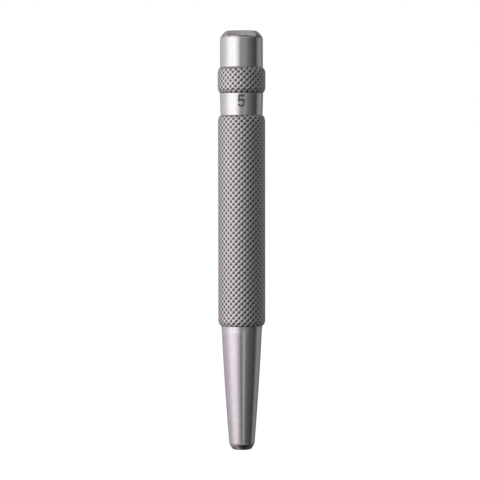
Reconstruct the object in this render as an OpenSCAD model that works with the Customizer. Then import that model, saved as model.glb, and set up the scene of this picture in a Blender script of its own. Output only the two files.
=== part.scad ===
// Hollow punch: a struck hand tool that cuts round holes in leather, card and gasket sheet.
// It is built up on one stem. The head carries the stem, a knurled collar, a size ring and a
// knurled grip slide over it, and the hollow cutter screws on below and clamps the stack.
// The axis is Z. The cutting edge lies in the plane z = 0 and the struck face is on top.

/* [Head] */
// Diameter of the head
plain_d = 12.25; // [11:0.05:12.6]
// Chamfer that breaks the edges where plain parts meet their neighbours
edge_break = 0.12; // [0.05:0.01:0.3]
// Length of the head above the collar
head_len = 10.4; // [6:0.1:20]
// Diameter of the flat struck face
face_d = 8.7; // [7:0.1:9.5]
// Height of the rounded crown below the struck face
crown_h = 2.15; // [1.5:0.05:3]
// How far the crown bulges beyond a straight chamfer
crown_bow = 0.29; // [0.05:0.01:0.35]

/* [Knurl] */
// Diameter over the ridges of the collar
collar_d = 13.8; // [13.2:0.05:16]
// Diameter over the ridges of the grip
grip_d = 13.65; // [13.2:0.05:16]
// Depth of the pits between the ridges
knurl_depth = 0.36; // [0.2:0.02:0.6]
// Number of ridges of each hand round the tool
knurl_starts = 25; // [16:1:32]
// Length of one diamond along the axis
knurl_pitch = 1.62; // [1.3:0.02:2.4]

/* [Handle] */
// Length of the knurled collar
collar_len = 7.3; // [4:0.1:12]
// Length of the size ring between collar and grip
ring_len = 6.4; // [4:0.1:12]
// Diameter of the size ring at its upper end
ring_top_d = 12.4; // [11.5:0.05:12.6]
// Diameter of the size ring at its lower end
ring_foot_d = 12.05; // [11.5:0.05:12.6]
// Length of the knurled grip
grip_len = 60.2; // [40:0.1:90]

/* [Stem] */
// Diameter of the stem inside the handle
stem_d = 8; // [7:0.1:9]
// Diameter of the threaded end that holds the cutter
thread_d = 6; // [5:0.1:6.5]
// Length of the threaded end
thread_len = 9; // [6:0.5:11]
// Radial gap between the stem and what slides or screws over it
stem_gap = 0.05; // [0.02:0.01:0.1]
// Depth of the socket beyond the end of the thread
socket_spare = 1; // [0.5:0.1:1.5]

/* [Cutter] */
// Diameter of the hole that the punch cuts
cut_d = 5; // [3:0.1:5.5]
// Length of the cutter from its shoulder to the cutting edge
cutter_len = 35.7; // [35:0.1:50]
// Diameter of the cutter's shoulder under the grip
shoulder_d = 11.85; // [11.75:0.05:12.2]
// Height of the narrow undercut between the shoulder and the grip
undercut_len = 0.3; // [0.1:0.05:0.35]
// Depth of that undercut
undercut_depth = 0.25; // [0.1:0.05:0.4]
// Length of the shoulder from the grip down to the turned step
land_len = 0.8; // [0.6:0.1:1.5]
// Depth of the turned step under the shoulder
land_step = 0.1; // [0.03:0.01:0.15]
// Length of the steeper root between the step and the main taper
root_len = 1.9; // [1:0.1:4]
// Diameter at the top of the main taper
taper_top_d = 11.45; // [10.6:0.05:11.5]
// Diameter at the foot of the main taper
taper_foot_d = 7.4; // [7:0.05:8.5]
// How far the main taper bulges beyond a straight cone
taper_bow = 0.12; // [0.02:0.01:0.2]
// Length of the sharpening bevel
bevel_len = 1.95; // [1.5:0.05:4]
// How far the sharpening bevel bulges beyond a straight cone
bevel_bow = 0.1; // [0.02:0.01:0.15]
// Width of the flat left on the cutting edge
edge_flat = 0.2; // [0.04:0.01:0.3]

/* [Slug way] */
// Length of the bore at cutting size behind the edge
bore_land = 5; // [3:0.1:7]
// Radial relief of the bore above that land
relief = 0.3; // [0.2:0.05:0.5]
// Side clearance of a slug in the window
window_gap = 0.1; // [0.05:0.01:0.15]
// Height of the window's lower end above the cutting edge
window_z = 8; // [7.5:0.1:9]
// Length of the window
window_len = 13; // [10:0.1:14]
// Slope of the ramp that turns slugs out of the window
ramp_angle = 50; // [40:1:55]
// How far the ramp comes out below the window's upper end
ramp_drop = 0.9; // [0.5:0.1:1.5]

/* [Hidden] */
$fn = 96;

steel = [0.66, 0.65, 0.66];
knurled_steel = [0.58, 0.57, 0.58];
hardened_steel = [0.62, 0.61, 0.62];
bow_steps = 6;   // cones that make up a bowed stretch
past = 1;        // how far a cutting solid runs past the face that it cuts

// Heights of the faces where the pieces meet
grip_z = cutter_len;
ring_z = grip_z + grip_len;
collar_z = ring_z + ring_len;
head_z = collar_z + collar_len;
top_z = head_z + head_len;

plain_r = plain_d / 2;
stem_r = stem_d / 2;
thread_r = thread_d / 2;
sleeve_bore_d = stem_d + 2 * stem_gap;
thread_end_z = cutter_len - thread_len;
socket_z = thread_end_z - socket_spare;

shoulder_r = shoulder_d / 2;
undercut_z = cutter_len - undercut_len;
undercut_r = shoulder_r - undercut_depth;
land_z = cutter_len - land_len;
taper_top_z = land_z - root_len;
taper_top = [taper_top_d / 2, taper_top_z];
taper_foot = [taper_foot_d / 2, bevel_len];
edge = [cut_d / 2 + edge_flat, 0];
crown_foot = [plain_r, top_z - crown_h];
relief_r = cut_d / 2 + relief;
window_w = cut_d + 2 * window_gap;
window_top_z = window_z + window_len;

// Point at a share of the way along a line that bulges outwards by a bow
function on_bow(low, high, bow, t) = low + (high - low) * t + [4 * bow * t * (1 - t), 0];

// Points along such a line after its lower end
function bowed(low, high, bow) = [for (k = [1 : bow_steps]) on_bow(low, high, bow, k / bow_steps)];

// Radius at the window's upper end, where the ramp runs out
ramp_end_r = on_bow(taper_foot, taper_top, taper_bow,
    (window_top_z - bevel_len) / (taper_top_z - bevel_len))[0];

// Half outline of the head and its stem, from the threaded end up to the struck face
head_outline = concat(
    [[0, thread_end_z], [thread_r - edge_break, thread_end_z], [thread_r, thread_end_z + edge_break],
     [thread_r, grip_z], [stem_r, grip_z], [stem_r, head_z],
     [plain_r - edge_break, head_z], [plain_r, head_z + edge_break], crown_foot],
    bowed(crown_foot, [face_d / 2, top_z], crown_bow),
    [[0, top_z]]);

// Half outline of the cutter's outside, from the cutting edge up to its shoulder
cutter_outline = concat(
    [[0, 0], edge],
    bowed(edge, taper_foot, bevel_bow),
    bowed(taper_foot, taper_top, taper_bow),
    [[shoulder_r - land_step, land_z], [shoulder_r, land_z], [shoulder_r, undercut_z],
     [undercut_r, undercut_z], [undercut_r, cutter_len], [0, cutter_len]]);

// Solid with a diamond knurl round it. Rings of points alternate between crossings of the raised
// ridges and the pits between them, and the two end rings close down as a chamfer does.
module knurl(d, len) {
    columns = 2 * knurl_starts;
    rows = max(2, round(2 * len / knurl_pitch));
    ridge_r = d / 2;
    pit_r = ridge_r - knurl_depth;
    end_r = min(plain_r, pit_r);
    function on_ridge(i, j) = (i + j) % 2 == 0;
    function radius(i, j) = j == 0 || j == rows ? end_r : on_ridge(i, j) ? ridge_r : pit_r;
    function at(i, j) = j * columns + i % columns;
    points = [for (j = [0 : rows]) for (i = [0 : columns - 1])
        let (a = i * 360 / columns, r = radius(i, j)) [r * cos(a), r * sin(a), len * j / rows]];
    // Each cell splits along its ridge, so every pit has four flat sides
    flanks = [for (j = [0 : rows - 1]) for (i = [0 : columns - 1])
        for (face = on_ridge(i, j)
            ? [[at(i, j), at(i + 1, j + 1), at(i + 1, j)], [at(i, j), at(i, j + 1), at(i + 1, j + 1)]]
            : [[at(i, j), at(i, j + 1), at(i + 1, j)], [at(i + 1, j), at(i, j + 1), at(i + 1, j + 1)]])
            face];
    foot = [for (i = [0 : columns - 1]) at(i, 0)];
    roof = [for (i = [columns - 1 : -1 : 0]) at(i, rows)];
    polyhedron(points, concat([foot, roof], flanks));
}

// Knurled sleeve with a bore that slides over the stem
module knurled_sleeve(d, z, len) {
    translate([0, 0, z]) difference() {
        knurl(d, len);
        translate([0, 0, -past]) cylinder(d = sleeve_bore_d, h = len + 2 * past);
    }
}

// Head with its crown, and the stem that runs down inside the handle
module striking_head() {
    color(steel) rotate_extrude() polygon(head_outline);
}

// Short knurled collar under the head
module knurled_collar() {
    color(knurled_steel) knurled_sleeve(collar_d, collar_z, collar_len);
}

// Plain, slightly tapered ring that takes the size mark
module size_ring() {
    color(steel) translate([0, 0, ring_z]) rotate_extrude() polygon([
        [sleeve_bore_d / 2, 0], [ring_foot_d / 2 - edge_break, 0], [ring_foot_d / 2, edge_break],
        [ring_top_d / 2, ring_len - edge_break], [ring_top_d / 2 - edge_break, ring_len],
        [sleeve_bore_d / 2, ring_len]]);
}

// Long knurled grip
module knurled_grip() {
    color(knurled_steel) knurled_sleeve(grip_d, grip_z, grip_len);
}

// Round-ended window through one side of the cutter
module window() {
    low_z = window_z + window_w / 2;
    high_z = window_top_z - window_w / 2;
    translate([-window_w / 2, 0, low_z]) cube([window_w, plain_r + past, high_z - low_z]);
    for (z = [low_z, high_z])
        translate([0, 0, z]) rotate([-90, 0, 0]) cylinder(d = window_w, h = plain_r + past);
}

// Everything below the sloping ramp, which rises outwards to the window's upper end
module below_ramp() {
    reach = cutter_len;
    translate([0, ramp_end_r, window_top_z - ramp_drop]) rotate([ramp_angle, 0, 0])
        translate([-reach, -reach, -2 * reach]) cube(2 * reach);
}

// Way of the slugs: bore at cutting size, relieved bore, window and ramp
module slug_way() {
    translate([0, 0, -past]) cylinder(d = cut_d, h = bore_land + 2 * past);
    intersection() {
        union() {
            translate([0, 0, bore_land]) cylinder(r = relief_r, h = window_top_z + past - bore_land);
            window();
        }
        below_ramp();
    }
}

// Tapered hollow cutter with its bevelled edge, slug way and threaded socket, necked under the grip
module cutter() {
    color(hardened_steel) difference() {
        rotate_extrude() polygon(cutter_outline);
        translate([0, 0, socket_z]) cylinder(r = thread_r + stem_gap, h = cutter_len - socket_z + past);
        slug_way();
    }
}

striking_head();
knurled_collar();
size_ring();
knurled_grip();
cutter();
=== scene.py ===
"""Finish of the hollow punch: turned and ground steel, diamond knurl and a stamped size number.

Everything is in metres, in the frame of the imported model: Z along the tool, cutting edge at z = 0.
The photograph looks along +Y.
"""
import math

import bmesh
import bpy
from mathutils import Matrix, Vector

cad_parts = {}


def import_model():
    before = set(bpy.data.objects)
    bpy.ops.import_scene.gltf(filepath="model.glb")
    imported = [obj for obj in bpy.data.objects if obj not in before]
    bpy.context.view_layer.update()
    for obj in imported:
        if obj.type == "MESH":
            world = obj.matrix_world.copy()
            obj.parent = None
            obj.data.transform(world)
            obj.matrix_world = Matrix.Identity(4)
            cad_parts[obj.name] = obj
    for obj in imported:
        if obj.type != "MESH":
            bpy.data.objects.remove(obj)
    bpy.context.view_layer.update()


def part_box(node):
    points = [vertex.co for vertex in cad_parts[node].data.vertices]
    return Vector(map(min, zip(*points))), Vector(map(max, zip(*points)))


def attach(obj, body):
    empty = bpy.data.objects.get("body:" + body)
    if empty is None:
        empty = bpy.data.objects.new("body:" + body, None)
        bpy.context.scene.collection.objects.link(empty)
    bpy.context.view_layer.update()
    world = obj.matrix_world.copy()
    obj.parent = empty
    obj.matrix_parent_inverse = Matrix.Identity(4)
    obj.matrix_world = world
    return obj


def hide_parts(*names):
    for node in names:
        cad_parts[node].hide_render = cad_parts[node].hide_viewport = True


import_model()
MM = 0.001


def node_span(node):
    """Lower end, upper end and outer radius of a CAD node."""
    low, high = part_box(node)
    return low.z, high.z, high.x


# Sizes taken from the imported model
thread_low, top_z, plain_r = node_span("striking_head")
collar_z, head_z, collar_r = node_span("knurled_collar")
ring_z, ring_top, ring_top_r = node_span("size_ring")
grip_z, grip_top, grip_r = node_span("knurled_grip")
_, cutter_top, shoulder_r = node_span("cutter")

# Sizes that repeat the part's own dimensions
stem_r = 4.0 * MM
sleeve_bore_r = 4.05 * MM
thread_r = 3.0 * MM
socket_r = 3.05 * MM
socket_z = thread_low - 1.0 * MM
face_r = 4.35 * MM
crown_h = 2.15 * MM
crown_bow = 0.29 * MM
ring_foot_r = 6.025 * MM
bore_r = 2.5 * MM
relief_r = 2.8 * MM
bore_land = 5.0 * MM
edge_r = 2.7 * MM
bevel_len = 1.95 * MM
taper_foot_r = 3.7 * MM
taper_top_r = 5.725 * MM
taper_bow = 0.12 * MM
land_z = cutter_top - 0.8 * MM
land_step = 0.1 * MM
undercut_len = 0.3 * MM
undercut_depth = 0.25 * MM
taper_top_z = land_z - 1.9 * MM
window_low = 8.0 * MM
window_high = 21.0 * MM
window_half = 2.6 * MM
ramp_drop = 0.9 * MM
ramp_angle = math.radians(50)

# Fine forms that only the finished pieces have
edge_round = 0.15 * MM       # ends of the plain pieces
stem_round = 0.2 * MM        # lower end of the stem, above its screw
crown_round = 0.6 * MM       # from the head's side into the crown
face_round = 0.12 * MM       # rim of the struck face
bevel_bow = 0.17 * MM        # bulge of the sharpening bevel, a little fuller than the part's own
bevel_round = 0.8 * MM       # from the bevel into the taper
taper_round = 2.0 * MM       # from the taper into its steeper root
groove_len = 0.2 * MM        # fine line turned under the shoulder
groove_depth = 0.12 * MM
groove_round = 0.03 * MM     # edges of that line
shoulder_round = 0.06 * MM   # upper edge of the shoulder

SPIN_STEPS = 192
SAME_POINT = 1e-7            # points of a finished skin closer than this are merged
SAME_PLACE = 1e-6            # nearness at which knurl points meet, or a point lies on a face


# Shapes

def all_of(bm):
    return bm.verts[:] + bm.edges[:] + bm.faces[:]


def points_in(made):
    return [g for g in made if isinstance(g, bmesh.types.BMVert)]


def sink(point, r, deep):
    """Moves a point at a radius towards the axis."""
    point.co.x *= (r - deep) / r
    point.co.y *= (r - deep) / r


def rounded_outline(corners, arc_steps=6):
    """Half outline of a turned piece. Each corner is (radius, height, rounding)."""
    points = []
    for k, (r, z, rounding) in enumerate(corners):
        here = Vector((r, z))
        if rounding == 0 or k in (0, len(corners) - 1):
            points.append(here)
            continue
        back = (Vector(corners[k - 1][:2]) - here).normalized()
        ahead = (Vector(corners[k + 1][:2]) - here).normalized()
        half = back.angle(ahead) / 2
        reach = rounding / math.tan(half)
        centre = here + (back + ahead).normalized() * rounding / math.sin(half)
        start, end = here + back * reach - centre, here + ahead * reach - centre
        turn = start.angle_signed(end)
        for s in range(arc_steps + 1):
            points.append(centre + Matrix.Rotation(-turn * s / arc_steps, 2) @ start)
    return points


BOW_STEPS = 12


def on_bow(low, high, bow, t):
    """Point at a share of the way along a line that bulges outwards by a bow."""
    return Vector(low).lerp(Vector(high), t) + Vector((4 * bow * t * (1 - t), 0))


def bowed(low, high, bow):
    """Corners between the ends of such a line, for an outline."""
    return [(*on_bow(low, high, bow, k / BOW_STEPS), 0) for k in range(1, BOW_STEPS)]


def turned(bm, outline, closed=False, spans=((2 * math.pi, SPIN_STEPS),), start=0.0):
    """Spins a half outline of (radius, height) points round the Z axis into a closed skin.

    Each span is an angle and its number of steps, so one side can be finer than the rest."""
    ahead = start
    for angle, steps in spans:
        ring = [bm.verts.new((p[0] * math.cos(ahead), p[0] * math.sin(ahead), p[1])) for p in outline]
        edges = [bm.edges.new(pair) for pair in zip(ring, ring[1:])]
        if closed:
            edges.append(bm.edges.new((ring[-1], ring[0])))
        bmesh.ops.spin(bm, geom=ring + edges, cent=(0, 0, 0), axis=(0, 0, 1), angle=angle,
                       steps=steps, use_merge=len(spans) == 1)
        ahead += angle
    bmesh.ops.remove_doubles(bm, verts=bm.verts, dist=SAME_POINT)
    bmesh.ops.recalc_face_normals(bm, faces=bm.faces)


def as_object(name, bm):
    mesh = bpy.data.meshes.new(name)
    bm.to_mesh(mesh)
    bm.free()
    thing = bpy.data.objects.new(name, mesh)
    bpy.context.scene.collection.objects.link(thing)
    return thing


def finished(piece, material, node, sharp_deg=35):
    """Makes a piece smooth, gives it its finish and lets it stand for a CAD node."""
    mesh = piece.data
    mesh.polygons.foreach_set("use_smooth", [True] * len(mesh.polygons))
    mesh.set_sharp_from_angle(angle=math.radians(sharp_deg))
    mesh.materials.append(material)
    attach(piece, "root")
    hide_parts(node)
    return piece


# Knurl

KNURL_RISING = 26      # ridges that climb to the right
KNURL_FALLING = 24     # ridges that fall to the right
KNURL_PITCH = 1.622 * MM
KNURL_DEPTH = 0.26 * MM
KNURL_PEAKS = 0.7      # share of the depth by which the ridges sag between their crossings
RISING_SHARE = 0.6     # share of the rising ridges in that sag
PIT_STEEP = 1.5        # how much narrower the pits are than plain waves
RIDGE_ROUND = 1.2      # power of the waves, less for sharper ridges
KNURL_ROWS = 6         # rows of points across one ridge pitch
END_RISE = 0.06 * MM   # height of the ridges above the plain head at the ends of a sleeve
CHAMFER_LEN = 0.4 * MM
CHAMFER_RISE = 0.44 * MM   # their height where the chamfer ends
LEAD_LEN = 1.3 * MM    # length over which the ridges reach their full height


def knurl_pit(a, b):
    """Depth of the knurl, from 0 where two ridges cross to 1 in the middle of a pit."""
    side_a = abs(math.sin(math.pi * a)) ** RIDGE_ROUND
    side_b = abs(math.sin(math.pi * b)) ** RIDGE_ROUND
    sag = RISING_SHARE * side_a + (1 - RISING_SHARE) * side_b
    return KNURL_PEAKS * sag + (1 - KNURL_PEAKS) * (side_a * side_b) ** PIT_STEEP


def knurl_limit(knurl_r, from_end):
    """Radius over the ridges at a distance from the end of a knurled sleeve."""
    if from_end < CHAMFER_LEN:
        return plain_r + END_RISE + (CHAMFER_RISE - END_RISE) * max(0.0, from_end) / CHAMFER_LEN
    lead = min(1.0, (from_end - CHAMFER_LEN) / (LEAD_LEN - CHAMFER_LEN))
    return plain_r + CHAMFER_RISE + (knurl_r - plain_r - CHAMFER_RISE) * lead


def knurled_sleeve(name, z_low, z_high, knurl_r, material, node, turn, shift):
    """Sleeve with a diamond knurl. Its grid of points runs along both sets of ridges.

    The knurl as a whole is turned round the axis and shifted along it."""
    length = z_high - z_low
    starts = KNURL_RISING + KNURL_FALLING
    spare = 2          # ridges of the grid beyond what is kept
    turns = math.ceil(length / KNURL_PITCH) + 2 * spare
    # phase a counts ridges to the right and down, phase b to the right and up
    a_low, a_high = -turns, KNURL_RISING + 2 * spare
    b_low, b_high = -2 * spare, KNURL_FALLING + turns
    bm = bmesh.new()
    columns = (a_high - a_low) * KNURL_ROWS
    rows = (b_high - b_low) * KNURL_ROWS
    bmesh.ops.create_grid(bm, x_segments=columns, y_segments=rows, size=1.0)
    pit = bm.verts.layers.float.new("pit")

    def place(v):
        """Share of a turn and height of a point given by its phases."""
        a, b = v.co.x, v.co.y
        z = KNURL_PITCH * (KNURL_RISING * b - KNURL_FALLING * a) / starts + shift
        return (a + b) / starts, z

    for v in bm.verts:
        a = a_low + (a_high - a_low) * (v.co.x + 1) / 2
        b = b_low + (b_high - b_low) * (v.co.y + 1) / 2
        v[pit] = knurl_pit(a, b)
        v.co = (a, b, 0)
    # One turn of whole diamonds is kept
    unused = []
    for f in bm.faces:
        middle = f.calc_center_median()
        turn_share = (math.floor(middle.x) + math.floor(middle.y)) / starts
        heights = [place(v)[1] for v in f.verts]
        if not 0 <= turn_share < 1 or max(heights) < 0 or min(heights) > length:
            unused.append(f)
    bmesh.ops.delete(bm, geom=unused, context="FACES")
    for v in bm.verts:
        share, z = place(v)
        angle = 2 * math.pi * share + turn
        r = knurl_r - KNURL_DEPTH * v[pit]
        v.co = (r * math.cos(angle), r * math.sin(angle), z)
    bmesh.ops.remove_doubles(bm, verts=bm.verts, dist=SAME_PLACE)
    for z, outward in ((0.0, -1), (length, 1)):
        bmesh.ops.bisect_plane(bm, geom=all_of(bm), plane_co=(0, 0, z), plane_no=(0, 0, outward),
                               clear_outer=True)
    for z in (CHAMFER_LEN, LEAD_LEN, length - LEAD_LEN, length - CHAMFER_LEN):
        bmesh.ops.bisect_plane(bm, geom=all_of(bm), plane_co=(0, 0, z), plane_no=(0, 0, 1))
    for v in bm.verts:
        r = math.hypot(v.co.x, v.co.y)
        sink(v, r, knurl_r - knurl_limit(knurl_r, min(v.co.z, length - v.co.z)))
    # End faces run in to the bore
    for z in (0.0, length):
        rim = [e for e in bm.edges if e.is_boundary and all(abs(v.co.z - z) < SAME_PLACE for v in e.verts)]
        made = bmesh.ops.extrude_edge_only(bm, edges=rim)["geom"]
        for v in points_in(made):
            scale = sleeve_bore_r / math.hypot(v.co.x, v.co.y)
            v.co = (v.co.x * scale, v.co.y * scale, z)
    bore = [e for e in bm.edges if e.is_boundary]
    bmesh.ops.bridge_loops(bm, edges=bore)
    bmesh.ops.recalc_face_normals(bm, faces=bm.faces)
    bmesh.ops.translate(bm, verts=bm.verts, vec=(0, 0, z_low))
    return finished(as_object(name, bm), material, node)


# Materials

def new_material(name):
    material = bpy.data.materials.new(name)
    material.use_nodes = True
    return material, material.node_tree.nodes, material.node_tree.links


def turning_marks(nodes, links, per_metre, around):
    """Noise drawn out round the axis, on the sides by height and on flat faces by radius."""
    where = nodes.new("ShaderNodeTexCoord")
    flat = nodes.new("ShaderNodeVectorMath")
    flat.operation = "MULTIPLY"
    flat.inputs[1].default_value = (1, 1, 0)
    radius = nodes.new("ShaderNodeVectorMath")
    radius.operation = "LENGTH"
    split = nodes.new("ShaderNodeSeparateXYZ")
    across = nodes.new("ShaderNodeMath")
    across.operation = "ADD"
    join = nodes.new("ShaderNodeCombineXYZ")
    stretch = nodes.new("ShaderNodeMapping")
    stretch.inputs["Scale"].default_value = (around, around, per_metre)
    noise = nodes.new("ShaderNodeTexNoise")
    noise.inputs["Scale"].default_value = 1.0
    noise.inputs["Detail"].default_value = 3.0
    links.new(where.outputs["Object"], flat.inputs[0])
    links.new(flat.outputs["Vector"], radius.inputs[0])
    links.new(where.outputs["Object"], split.inputs["Vector"])
    links.new(split.outputs["Z"], across.inputs[0])
    links.new(radius.outputs["Value"], across.inputs[1])
    links.new(split.outputs["X"], join.inputs["X"])
    links.new(split.outputs["Y"], join.inputs["Y"])
    links.new(across.outputs["Value"], join.inputs["Z"])
    links.new(join.outputs["Vector"], stretch.inputs["Vector"])
    links.new(stretch.outputs["Vector"], noise.inputs["Vector"])
    return noise


MARKS_ACROSS = 5000        # turning marks, in waves per metre across them
MARKS_AROUND = 120         # and along them, round the tool
CLOUDS_ACROSS = 1200       # cloudy changes of the finish
CLOUDS_AROUND = 600
GLOSS_SPREAD = (0.5, 1.5)  # share of the roughness in the glossiest and the dullest clouds
TONE_SPREAD = (0.88, 1.12) # share of the colour in the darkest and the lightest clouds
STAMP_SHADE = 0.3          # brightness left in the bottom of a stamped mark, as painted shade in its recess


def steel(name, color, roughness, mark_height):
    """Satin steel with fine marks round the axis, a faint, cloudy change of gloss, and painted shade in
    the bottom of stamped marks.
    """
    material, nodes, links = new_material(name)
    shader = nodes["Principled BSDF"]
    shader.inputs["Metallic"].default_value = 1.0
    marks = turning_marks(nodes, links, MARKS_ACROSS, MARKS_AROUND)
    bump = nodes.new("ShaderNodeBump")
    bump.inputs["Strength"].default_value = 1.0
    bump.inputs["Distance"].default_value = mark_height
    links.new(marks.outputs["Fac"], bump.inputs["Height"])
    links.new(bump.outputs["Normal"], shader.inputs["Normal"])
    clouds = turning_marks(nodes, links, CLOUDS_ACROSS, CLOUDS_AROUND)
    gloss = nodes.new("ShaderNodeMapRange")
    gloss.inputs["To Min"].default_value = roughness * GLOSS_SPREAD[0]
    gloss.inputs["To Max"].default_value = roughness * GLOSS_SPREAD[1]
    links.new(clouds.outputs["Fac"], gloss.inputs["Value"])
    links.new(gloss.outputs["Result"], shader.inputs["Roughness"])
    tone = nodes.new("ShaderNodeMix")
    tone.data_type = "RGBA"
    tone.inputs["A"].default_value = (*(TONE_SPREAD[0] * c for c in color), 1)
    tone.inputs["B"].default_value = (*(TONE_SPREAD[1] * c for c in color), 1)
    links.new(clouds.outputs["Fac"], tone.inputs["Factor"])
    # Painted shade: stamped strokes are darkened towards their bottom
    struck = nodes.new("ShaderNodeAttribute")
    struck.attribute_name = "stamp"
    stamp_shade_mix = nodes.new("ShaderNodeMix")
    stamp_shade_mix.data_type = "RGBA"
    stamp_shade_mix.inputs["B"].default_value = (*(STAMP_SHADE * c for c in color), 1)
    links.new(struck.outputs["Fac"], stamp_shade_mix.inputs["Factor"])
    links.new(tone.outputs["Result"], stamp_shade_mix.inputs["A"])
    links.new(stamp_shade_mix.outputs["Result"], shader.inputs["Base Color"])
    return material


PIT_EDGE = 0.3             # depth at which the ridges start to turn rough and get painted shade
PIT_FLOOR = 0.9            # depth at which the rough pits with full painted shade begin


def knurl_steel(name, ridge_color, pit_shade_color, ridge_roughness, pit_roughness):
    """Steel that is bright on the knurl's ridges and rougher down in its pits, where its colour is
    darkened as painted shade.
    """
    material, nodes, links = new_material(name)
    shader = nodes["Principled BSDF"]
    shader.inputs["Metallic"].default_value = 1.0
    depth = nodes.new("ShaderNodeAttribute")
    depth.attribute_name = "pit"
    rough_and_shade = nodes.new("ShaderNodeMapRange")
    rough_and_shade.interpolation_type = "SMOOTHSTEP"
    rough_and_shade.inputs["From Min"].default_value = PIT_EDGE
    rough_and_shade.inputs["From Max"].default_value = PIT_FLOOR
    links.new(depth.outputs["Fac"], rough_and_shade.inputs["Value"])
    # Painted shade: the colour darkens from the ridges down into the pits
    tone = nodes.new("ShaderNodeMix")
    tone.data_type = "RGBA"
    tone.inputs["A"].default_value = (*ridge_color, 1)
    tone.inputs["B"].default_value = (*pit_shade_color, 1)
    links.new(rough_and_shade.outputs["Result"], tone.inputs["Factor"])
    links.new(tone.outputs["Result"], shader.inputs["Base Color"])
    gloss = nodes.new("ShaderNodeMapRange")
    gloss.inputs["To Min"].default_value = ridge_roughness
    gloss.inputs["To Max"].default_value = pit_roughness
    links.new(rough_and_shade.outputs["Result"], gloss.inputs["Value"])
    links.new(gloss.outputs["Result"], shader.inputs["Roughness"])
    return material


# The faint lilac cast in these steel colours is painted reflection of the rosy studio light; the steel
# itself is neutral grey
turned_steel = steel("turned_steel", color=(0.62, 0.61, 0.62), roughness=0.16,
                     mark_height=0.002 * MM)
knurled_steel = knurl_steel("knurled_steel", ridge_color=(0.62, 0.597, 0.608),
                            pit_shade_color=(0.14, 0.135, 0.137), ridge_roughness=0.4,
                            pit_roughness=0.6)
hardened_steel = steel("hardened_steel", color=(0.60, 0.575, 0.60), roughness=0.16,
                       mark_height=0.003 * MM)


# Pieces

THREAD_PITCH = 1.0 * MM
THREAD_DEPTH = 0.55 * MM
THREAD_ROWS = 8            # rows of points along one turn of the thread
THREAD_FLANK = 1.25        # over 1 leaves small flats on crest and root

crown_foot = (plain_r, top_z - crown_h)
crown_top = (face_r, top_z)


def striking_head():
    """Head with its crown, stem and screw end."""
    bm = bmesh.new()
    turns = round((grip_z - thread_low) / THREAD_PITCH)
    thread_rows = [(thread_r, thread_low + THREAD_PITCH * k / THREAD_ROWS, 0)
                   for k in range(turns * THREAD_ROWS)]
    turned(bm, rounded_outline([(0, thread_low, 0)] + thread_rows + [
        (thread_r, grip_z, 0), (stem_r, grip_z, stem_round), (stem_r, head_z, 0),
        (plain_r, head_z, edge_round), (*crown_foot, crown_round)]
        + bowed(crown_foot, crown_top, crown_bow) + [(*crown_top, face_round), (0, top_z, 0)]))
    for v in bm.verts:
        r = math.hypot(v.co.x, v.co.y)
        if abs(r - thread_r) > SAME_PLACE or v.co.z > grip_z - SAME_PLACE:
            continue
        turn = (v.co.z - thread_low) / THREAD_PITCH - math.atan2(v.co.y, v.co.x) / (2 * math.pi)
        groove = 1 - 2 * abs(turn - round(turn))
        run_out = min(1.0, (grip_z - v.co.z) / THREAD_PITCH)
        wall = min(1.0, max(0.0, THREAD_FLANK * groove - (THREAD_FLANK - 1) / 2))
        sink(v, r, THREAD_DEPTH * wall * run_out)
    return finished(as_object("striking_head_piece", bm), turned_steel, "striking_head")


DIGIT_HIGH = 2.9 * MM
DIGIT_WIDE = 1.6 * MM
DIGIT_STROKE = 0.6 * MM
DIGIT_DEPTH = 0.24 * MM
DIGIT_X = 0.1 * MM       # middle of the number, from the tool's middle
DIGIT_Z = ring_top - 2.3 * MM
DIGIT_LEAN = 0.15 * MM   # by which its upright leans
DIGIT_WALL = 1.6         # steepness of the strokes' sides, over 1 leaves a flat bottom
BOWL_SHARE = 0.3         # radius of its bowl, as a share of its height
BOWL_JOIN = 0.75         # height at which the upright meets the bowl, as a share of that radius
BOWL_FROM = 125          # angle at which the bowl begins, and its sweep
BOWL_SWEEP = 270
BOWL_STEPS = 14
RING_ROW = 0.07 * MM     # rows of points on the ring's side
FRONT = math.radians(-90)
FRONT_SPAN = math.radians(30)    # stretch of the ring that is finer, for the number
FRONT_STEPS = 72
REST_STEPS = 168


def size_number():
    """Strokes of the stamped number 5, as points on the ring's unrolled front."""
    left, right = -DIGIT_WIDE / 2, DIGIT_WIDE / 2
    bowl_r = BOWL_SHARE * DIGIT_HIGH
    bowl = Vector((right - bowl_r, -DIGIT_HIGH / 2 + bowl_r))
    points = [Vector((right, DIGIT_HIGH / 2)), Vector((left + DIGIT_LEAN, DIGIT_HIGH / 2)),
              Vector((left, bowl.y + BOWL_JOIN * bowl_r))]
    for k in range(BOWL_STEPS + 1):
        angle = math.radians(BOWL_FROM - BOWL_SWEEP * k / BOWL_STEPS)
        points.append(bowl + bowl_r * Vector((math.cos(angle), math.sin(angle))))
    return points


def stroke_distance(p, points):
    """Distance from a point to a chain of straight strokes."""
    best = math.inf
    for a, b in zip(points, points[1:]):
        along = b - a
        share = min(1.0, max(0.0, (p - a).dot(along) / along.length_squared))
        best = min(best, (p - a - along * share).length)
    return best


def ring_r(z):
    """Outer radius of the tapered size ring."""
    return ring_foot_r + (ring_top_r - ring_foot_r) * (z - ring_z) / (ring_top - ring_z)


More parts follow.
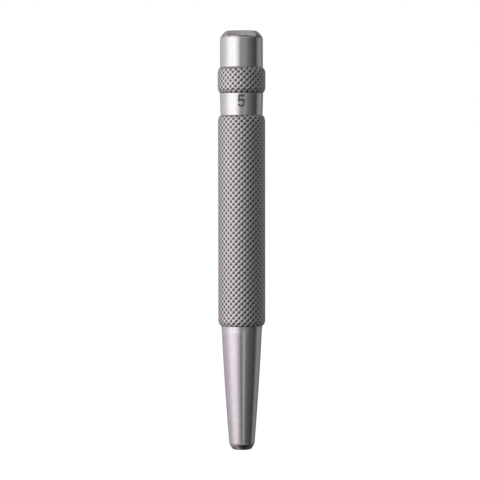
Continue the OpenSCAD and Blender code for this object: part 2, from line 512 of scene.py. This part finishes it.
def size_ring():
    """Plain ring with the size number stamped into its front."""
    bm = bmesh.new()
    rows = math.floor((ring_top - ring_z - 4 * edge_round) / RING_ROW)
    low = ring_z + 2 * edge_round
    sides = [(ring_r(low + RING_ROW * k), low + RING_ROW * k, 0) for k in range(rows + 1)]
    turned(bm, rounded_outline(
        [(sleeve_bore_r, ring_z, 0), (ring_foot_r, ring_z, edge_round)] + sides
        + [(ring_top_r, ring_top, edge_round), (sleeve_bore_r, ring_top, 0)]), closed=True,
        spans=((FRONT_SPAN, FRONT_STEPS), (2 * math.pi - FRONT_SPAN, REST_STEPS)),
        start=FRONT - FRONT_SPAN / 2)
    strokes = size_number()
    stamp = bm.verts.layers.float.new("stamp")
    for v in bm.verts:
        r = math.hypot(v.co.x, v.co.y)
        around = math.atan2(v.co.y, v.co.x) - FRONT
        if abs(r - ring_r(v.co.z)) > SAME_PLACE or abs(around) > FRONT_SPAN / 2:
            continue
        here = Vector((r * around - DIGIT_X, v.co.z - DIGIT_Z))
        share = max(0.0, 1 - stroke_distance(here, strokes) / (DIGIT_STROKE / 2))
        # The stroke mask sets both the stamp's depth and its painted shade
        v[stamp] = min(1.0, DIGIT_WALL * share)
        sink(v, r, DIGIT_DEPTH * v[stamp])
    return finished(as_object("size_ring_piece", bm), turned_steel, "size_ring")


cutting_edge = (edge_r, 0)
taper_foot = (taper_foot_r, bevel_len)
taper_top = (taper_top_r, taper_top_z)
RELIEF_STEPS = 96
WINDOW_STEPS = 32          # round each end of the window
PAST = 1.0 * MM            # how far a cutting shape runs past the face that it cuts


def combined(piece, shape, operation):
    """Joins a closed shape to a piece or takes it away, and leaves the plain mesh."""
    step = piece.modifiers.new("step", "BOOLEAN")
    step.operation = operation
    step.solver = "EXACT"
    step.object = shape
    seen = piece.evaluated_get(bpy.context.evaluated_depsgraph_get())
    whole = bpy.data.meshes.new_from_object(seen)
    bm = bmesh.new()
    bm.from_mesh(whole)
    bmesh.ops.remove_doubles(bm, verts=bm.verts, dist=SAME_POINT)
    bm.to_mesh(whole)
    bm.free()
    piece.modifiers.clear()
    piece.data = whole
    bpy.data.objects.remove(shape)
    return piece


def slug_way():
    """Relieved bore and window as one closed shape, under the sloping ramp that turns slugs out."""
    relief_top = window_high + PAST
    bm = bmesh.new()
    bmesh.ops.create_cone(bm, cap_ends=True, segments=RELIEF_STEPS, radius1=relief_r, radius2=relief_r,
                          depth=relief_top - bore_land,
                          matrix=Matrix.Translation((0, 0, (relief_top + bore_land) / 2)))
    way = combined(as_object("slug_way", bm), as_object("window", window_shape()), "UNION")
    bm = bmesh.new()
    bm.from_mesh(way.data)
    share = (window_high - bevel_len) / (taper_top_z - bevel_len)
    foot = (0, on_bow(taper_foot, taper_top, taper_bow, share).x, window_high - ramp_drop)
    slope = (0, -math.sin(ramp_angle), math.cos(ramp_angle))
    cut = bmesh.ops.bisect_plane(bm, geom=all_of(bm), plane_co=foot, plane_no=slope, clear_outer=True)
    rim = [g for g in cut["geom_cut"] if isinstance(g, bmesh.types.BMEdge)]
    bmesh.ops.contextual_create(bm, geom=rim)
    bmesh.ops.recalc_face_normals(bm, faces=bm.faces)
    bm.to_mesh(way.data)
    bm.free()
    return way


def window_shape():
    """Round-ended bar that mills the window through one side."""
    bm = bmesh.new()
    outline = []
    for z, start in ((window_low + window_half, 180), (window_high - window_half, 0)):
        for k in range(WINDOW_STEPS + 1):
            angle = math.radians(start + 180 * k / WINDOW_STEPS)
            across, up = window_half * math.cos(angle), window_half * math.sin(angle)
            outline.append(bm.verts.new((across, 0, z + up)))
    base = bm.faces.new(outline)
    made = bmesh.ops.extrude_face_region(bm, geom=[base])["geom"]
    bmesh.ops.translate(bm, verts=points_in(made), vec=(0, plain_r + PAST, 0))
    bmesh.ops.recalc_face_normals(bm, faces=bm.faces)
    return bm


def cutter():
    """Tapered hollow cutter with its bevelled edge, slug way and socket."""
    bm = bmesh.new()
    undercut_z = cutter_top - undercut_len
    undercut_r = shoulder_r - undercut_depth
    root_r = shoulder_r - land_step
    groove_z = land_z - groove_len
    groove_r = root_r - groove_depth
    bore_end = bore_land + PAST
    turned(bm, rounded_outline(
        [(0, bore_end, 0), (bore_r, bore_end, 0), (bore_r, 0, 0), (*cutting_edge, 0)]
        + bowed(cutting_edge, taper_foot, bevel_bow) + [(*taper_foot, bevel_round)]
        + bowed(taper_foot, taper_top, taper_bow)
        + [(*taper_top, taper_round), (root_r, groove_z, groove_round), (groove_r, groove_z, 0),
           (groove_r, land_z, 0), (shoulder_r, land_z, groove_round),
           (shoulder_r, undercut_z, shoulder_round), (undercut_r, undercut_z, 0),
           (undercut_r, cutter_top, 0), (socket_r, cutter_top, 0), (socket_r, socket_z, 0),
           (0, socket_z, 0)]))
    piece = combined(as_object("cutter_piece", bm), slug_way(), "DIFFERENCE")
    return finished(piece, hardened_steel, "cutter")


striking_head()
knurled_sleeve("knurled_collar_piece", collar_z, head_z, collar_r, knurled_steel, "knurled_collar",
               turn=0.455, shift=-0.02 * MM)
size_ring()
knurled_sleeve("knurled_grip_piece", grip_z, grip_top, grip_r, knurled_steel, "knurled_grip",
               turn=-0.034, shift=-0.27 * MM)
cutter()


# Studio

ROOM_R = 1.0
ROOM_FLOOR = -0.85         # heights at which one tier of wall ends and the next begins
ROOM_SKIRT = -0.42
ROOM_EDGE = -0.08
ROOM_TOP = 0.45
ROOM_COVE = 1.0
ROOM_BEAM = 1.55
ROOM_CEILING = 2.2
ROOM_SIDES = 96
PEAK = 1.6                 # level of the brightest stretch of wall, where 1 is white
ROSE = (1.0, 0.93, 0.965)
NEUTRAL = (1.0, 1.0, 1.0)
COOL = (0.97, 0.96, 1.0)


def glow_round(name, stops, z_low, z_high, fade):
    """Light that changes with the angle round the tool. Stops are (degrees, level, tint).

    It fades to a share of its strength at the lower end."""
    material, nodes, links = new_material(name)
    nodes.remove(nodes["Principled BSDF"])
    where = nodes.new("ShaderNodeTexCoord")
    split = nodes.new("ShaderNodeSeparateXYZ")
    to_camera = nodes.new("ShaderNodeMath")
    to_camera.operation = "MULTIPLY"
    to_camera.inputs[1].default_value = -1.0
    angle = nodes.new("ShaderNodeMath")
    angle.operation = "ARCTAN2"
    share = nodes.new("ShaderNodeMapRange")
    share.inputs["From Min"].default_value = -math.pi
    share.inputs["From Max"].default_value = math.pi
    ramp = nodes.new("ShaderNodeValToRGB")
    light = nodes.new("ShaderNodeEmission")
    strength = nodes.new("ShaderNodeMapRange")
    strength.inputs["From Min"].default_value = z_low
    strength.inputs["From Max"].default_value = z_high
    strength.inputs["To Min"].default_value = PEAK * fade
    strength.inputs["To Max"].default_value = PEAK
    links.new(split.outputs["Z"], strength.inputs["Value"])
    links.new(strength.outputs["Result"], light.inputs["Strength"])
    links.new(where.outputs["Object"], split.inputs["Vector"])
    links.new(split.outputs["Y"], to_camera.inputs[0])
    links.new(split.outputs["X"], angle.inputs[0])
    links.new(to_camera.outputs["Value"], angle.inputs[1])
    links.new(angle.outputs["Value"], share.inputs["Value"])
    links.new(share.outputs["Result"], ramp.inputs["Fac"])
    links.new(ramp.outputs["Color"], light.inputs["Color"])
    links.new(light.outputs["Emission"], nodes["Material Output"].inputs["Surface"])
    elements = ramp.color_ramp.elements
    while len(elements) < len(stops):
        elements.new(1.0)
    for element, (degrees, level, tint) in zip(elements, stops):
        element.position = (degrees + 180) / 360
        element.color = (*(level / PEAK * c for c in tint), 1)
    return material


def stage_object(name, bm, material, in_view=False):
    thing = as_object(name, bm)
    thing.data.materials.append(material)
    thing.visible_camera = in_view
    return thing


def studio_wall(name, z_low, z_high, stops, fade=1.0):
    """Round wall of light. Angles count from the camera, positive to the right."""
    bm = bmesh.new()
    bmesh.ops.create_circle(bm, segments=ROOM_SIDES, radius=ROOM_R,
                            matrix=Matrix.Translation((0, 0, z_low)))
    made = bmesh.ops.extrude_edge_only(bm, edges=bm.edges[:])["geom"]
    bmesh.ops.translate(bm, verts=points_in(made), vec=(0, 0, z_high - z_low))
    return stage_object(name, bm, glow_round(name, stops, z_low, z_high, fade))


def studio_lid(name, z, stops):
    """Flat, round end of the studio, lit in the same way."""
    bm = bmesh.new()
    bmesh.ops.create_circle(bm, cap_ends=True, segments=ROOM_SIDES, radius=ROOM_R,
                            matrix=Matrix.Translation((0, 0, z)))
    return stage_object(name, bm, glow_round(name, stops, z, z + ROOM_R, fade=1.0))


studio_lid("ceiling", ROOM_CEILING, [
    (-180, 0.48, ROSE), (-60, 0.45, ROSE), (60, 0.55, ROSE), (180, 0.48, ROSE)])
studio_wall("high_cove", ROOM_BEAM, ROOM_CEILING, [
    (-180, 0.48, ROSE), (-120, 0.45, ROSE), (-90, 0.25, ROSE), (-20, 0.20, NEUTRAL),
    (-5, 0.20, NEUTRAL), (30, 0.15, NEUTRAL), (45, 0.20, NEUTRAL), (62, 0.55, ROSE),
    (180, 0.48, ROSE)])
studio_wall("cove", ROOM_COVE, ROOM_BEAM, [
    (-180, 0.48, ROSE), (-106, 0.35, ROSE), (-88, 0.30, ROSE), (-76, 1.00, NEUTRAL),
    (-40, 1.20, NEUTRAL), (-20, 0.55, NEUTRAL), (-5, 0.25, NEUTRAL), (40, 0.15, NEUTRAL),
    (72, 0.15, NEUTRAL), (90, 0.50, ROSE), (180, 0.48, ROSE)])
studio_wall("high_wall", ROOM_TOP, ROOM_COVE, [
    (-180, 0.35, NEUTRAL), (-130, 0.50, ROSE), (-97, 1.00, ROSE), (-67, 1.40, NEUTRAL),
    (-30, 1.10, NEUTRAL), (-10, 0.75, NEUTRAL), (10, 0.74, NEUTRAL), (35, 0.46, NEUTRAL),
    (60, 0.20, NEUTRAL), (90, 0.12, COOL), (120, 0.10, COOL), (150, 0.25, NEUTRAL),
    (180, 0.35, NEUTRAL)])
studio_wall("wall", ROOM_EDGE, ROOM_TOP, [
    (-180, 0.25, NEUTRAL), (-144, 0.66, ROSE), (-97, 0.98, ROSE), (-67, 1.57, NEUTRAL),
    (-33, 1.57, NEUTRAL), (-20, 1.10, NEUTRAL), (-8, 0.46, NEUTRAL), (0, 0.37, NEUTRAL),
    (16, 0.40, NEUTRAL), (40, 0.20, NEUTRAL), (64, 0.11, NEUTRAL), (84, 0.07, COOL),
    (96, 0.28, COOL), (116, 0.42, COOL), (144, 0.22, NEUTRAL), (180, 0.25, NEUTRAL)])
studio_wall("low_wall", ROOM_SKIRT, ROOM_EDGE, [
    (-180, 0.25, NEUTRAL), (-144, 0.60, ROSE), (-97, 0.90, ROSE), (-67, 1.52, ROSE),
    (-42, 1.52, ROSE), (-24, 0.92, ROSE), (-8, 0.36, NEUTRAL), (-2, 0.24, NEUTRAL),
    (4, 0.46, NEUTRAL), (10, 0.68, NEUTRAL), (16, 0.64, NEUTRAL), (24, 0.26, NEUTRAL),
    (44, 0.16, NEUTRAL), (84, 0.08, COOL), (96, 0.30, COOL), (116, 0.42, COOL),
    (144, 0.22, NEUTRAL), (180, 0.25, NEUTRAL)], fade=0.65)
studio_wall("skirt", ROOM_FLOOR, ROOM_SKIRT, [
    (-180, 0.25, ROSE), (-130, 0.45, ROSE), (-80, 1.00, ROSE), (-35, 1.00, ROSE),
    (-10, 0.75, NEUTRAL), (10, 0.60, NEUTRAL), (35, 0.35, NEUTRAL), (80, 0.06, NEUTRAL),
    (100, 0.15, NEUTRAL), (130, 0.15, NEUTRAL), (180, 0.25, ROSE)], fade=0.4)
studio_lid("base", ROOM_FLOOR, [
    (-180, 0.20, ROSE), (-100, 0.26, ROSE), (-74, 0.46, ROSE), (-58, 0.26, ROSE),
    (-45, 0.12, ROSE), (-20, 0.07, ROSE), (0, 0.05, ROSE), (25, 0.02, ROSE),
    (60, 0.03, ROSE), (95, 0.06, NEUTRAL), (140, 0.10, NEUTRAL), (180, 0.20, ROSE)])


FLOOR_HALF = 3.0
PAPER = 0.9                # brightness of the floor where it takes the shadow
PAPER_SHARE = 0.12         # how much of that shows through the white
FLOOR_WHITE = 1.12


def floor():
    """Pale floor that keeps a soft shadow of the tool."""
    bm = bmesh.new()
    bmesh.ops.create_grid(bm, x_segments=1, y_segments=1, size=FLOOR_HALF)
    material, nodes, links = new_material("floor_white")
    nodes.remove(nodes["Principled BSDF"])
    paper = nodes.new("ShaderNodeBsdfDiffuse")
    paper.inputs["Color"].default_value = (PAPER, PAPER, PAPER, 1)
    white = nodes.new("ShaderNodeEmission")
    white.inputs["Strength"].default_value = FLOOR_WHITE
    mix = nodes.new("ShaderNodeMixShader")
    mix.inputs["Fac"].default_value = PAPER_SHARE
    links.new(white.outputs["Emission"], mix.inputs[1])
    links.new(paper.outputs["BSDF"], mix.inputs[2])
    links.new(mix.outputs["Shader"], nodes["Material Output"].inputs["Surface"])
    thing = stage_object("floor", bm, material, in_view=True)
    thing.visible_glossy = False
    thing.visible_diffuse = False
    return thing


floor()


DIM_WHITE = 0.3            # strength of the background for all other light


def world():
    """White background for the camera and for what mirrors it."""
    studio = bpy.data.worlds.new("studio")
    bpy.context.scene.world = studio
    studio.use_nodes = True
    nodes, links = studio.node_tree.nodes, studio.node_tree.links
    background = nodes["Background"]
    background.inputs["Color"].default_value = (1, 1, 1, 1)
    path = nodes.new("ShaderNodeLightPath")
    seen = nodes.new("ShaderNodeMath")
    seen.operation = "MAXIMUM"
    mirrored = nodes.new("ShaderNodeMath")
    mirrored.operation = "MAXIMUM"
    strength = nodes.new("ShaderNodeMapRange")
    strength.inputs["To Min"].default_value = DIM_WHITE
    strength.inputs["To Max"].default_value = 1.0
    links.new(path.outputs["Is Glossy Ray"], mirrored.inputs[0])
    links.new(path.outputs["Is Transmission Ray"], mirrored.inputs[1])
    links.new(path.outputs["Is Camera Ray"], seen.inputs[0])
    links.new(mirrored.outputs["Value"], seen.inputs[1])
    links.new(seen.outputs["Value"], strength.inputs["Value"])
    links.new(strength.outputs["Result"], background.inputs["Strength"])


world()


# Camera, from the photograph's perspective

CAMERA_LENS = 146.5
CAMERA_PLACE = (-0.49 * MM, -560.0 * MM, 88.0 * MM)
CAMERA_PITCH = 2.836       # degrees down
CAMERA_ROLL = -0.07
CAMERA_NEAR = 0.01


def camera():
    data = bpy.data.cameras.new("camera")
    data.lens = CAMERA_LENS
    data.clip_start = CAMERA_NEAR
    thing = bpy.data.objects.new("camera", data)
    bpy.context.scene.collection.objects.link(thing)
    aim = Matrix.Rotation(math.radians(90 - CAMERA_PITCH), 4, "X")
    roll = Matrix.Rotation(math.radians(CAMERA_ROLL), 4, "Z")
    thing.matrix_world = Matrix.Translation(CAMERA_PLACE) @ aim @ roll
    bpy.context.scene.camera = thing


camera()
bpy.context.scene.view_settings.view_transform = "Standard"
